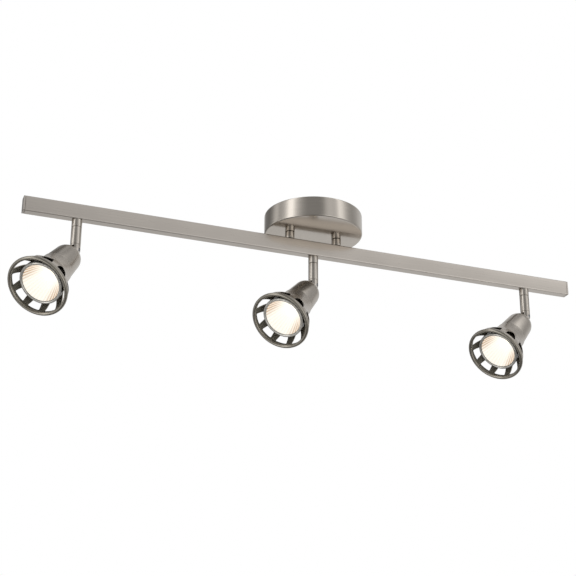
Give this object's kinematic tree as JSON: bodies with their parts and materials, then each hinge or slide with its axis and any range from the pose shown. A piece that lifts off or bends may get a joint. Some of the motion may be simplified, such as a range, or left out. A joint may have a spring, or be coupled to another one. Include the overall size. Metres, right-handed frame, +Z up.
{
  "type": "bar spotlight ceiling fixture",
  "caption": "Ceiling bar light on a round canopy: slim straight bar with slotted bell-shaped spot heads that turn and tilt on short stems.",
  "frame": {"origin": "centre of the canopy on the ceiling plane", "axes": "+X along the bar, +Y to the back, +Z up into the ceiling"},
  "size_m": [0.7221, 0.1351, 0.1829],
  "materials": {
    "nickel": "brushed nickel plate",
    "chrome": "polished nickel plate",
    "steel": "zinc plated",
    "ceramic": "glazed",
    "glass": "clear",
    "reflector": "coated reflector glass",
    "orange": "moulded",
    "black": "wire insulation",
    "white": "wire insulation",
    "green": "green"
  },
  "bodies": {
    "fixture": {"canopy": "nickel", "mounting_crossbar": "steel", "canopy_screw_left": "steel", "canopy_screw_right": "steel", "ground_screw": "green", "wire_connector_line": "orange", "wire_connector_neutral": "orange", "lead_line": "black", "lead_neutral": "white", "stem_nipple_left": "steel", "stem_nipple_right": "steel", "canopy_stem_left": "nickel", "canopy_stem_right": "nickel", "canopy_nut_left": "steel", "canopy_nut_right": "steel", "bar_nut_left": "steel", "bar_nut_right": "steel", "bar_channel": "nickel", "bar_cover": "nickel", "end_cap_left": "nickel", "end_cap_right": "nickel", "swivel_collar_left": "nickel", "swivel_collar_middle": "nickel", "swivel_collar_right": "nickel"},
    "stem_left": {"swivel_spindle_left": "steel", "spindle_nut_left": "steel", "stem_tube_left": "nickel", "tilt_knuckle_left": "nickel", "pivot_pin_left": "steel"},
    "head_left": {"swivel_arm_left": "steel", "housing_left": "nickel", "lamp_holder_left": "ceramic", "lamp_left": "reflector", "lamp_lens_left": "glass", "lamp_ring_left": "chrome", "shade_left": "chrome"},
    "stem_middle": {"swivel_spindle_middle": "steel", "spindle_nut_middle": "steel", "stem_tube_middle": "nickel", "tilt_knuckle_middle": "nickel", "pivot_pin_middle": "steel"},
    "head_middle": {"swivel_arm_middle": "steel", "housing_middle": "nickel", "lamp_holder_middle": "ceramic", "lamp_middle": "reflector", "lamp_lens_middle": "glass", "lamp_ring_middle": "chrome", "shade_middle": "chrome"},
    "stem_right": {"swivel_spindle_right": "steel", "spindle_nut_right": "steel", "stem_tube_right": "nickel", "tilt_knuckle_right": "nickel", "pivot_pin_right": "steel"},
    "head_right": {"swivel_arm_right": "steel", "housing_right": "nickel", "lamp_holder_right": "ceramic", "lamp_right": "reflector", "lamp_lens_right": "glass", "lamp_ring_right": "chrome", "shade_right": "chrome"}
  },
  "joints": [
    {"name": "pan_left", "type": "hinge", "parent": "fixture", "child": "stem_left", "pos_m": [-0.291, 0, -0.0905], "axis": [0, 0, -1], "range_deg": [-221.6, 128.4]},
    {"name": "tilt_left", "type": "hinge", "parent": "stem_left", "child": "head_left", "pos_m": [-0.291, 0, -0.0905], "axis": [-0.6871, 0.7266, 0], "range_deg": [-43.2, 46.8]},
    {"name": "pan_middle", "type": "hinge", "parent": "fixture", "child": "stem_middle", "pos_m": [0, 0, -0.0905], "axis": [0, 0, -1], "range_deg": [-232.2, 117.8]},
    {"name": "tilt_middle", "type": "hinge", "parent": "stem_middle", "child": "head_middle", "pos_m": [0, 0, -0.0905], "axis": [-0.5417, 0.8406, 0], "range_deg": [-45, 45]},
    {"name": "pan_right", "type": "hinge", "parent": "fixture", "child": "stem_right", "pos_m": [0.291, 0, -0.0905], "axis": [0, 0, -1], "range_deg": [-243.3, 106.7]},
    {"name": "tilt_right", "type": "hinge", "parent": "stem_right", "child": "head_right", "pos_m": [0.291, 0, -0.0905], "axis": [-0.3697, 0.9291, 0], "range_deg": [-44.6, 45.4]}
  ]
}
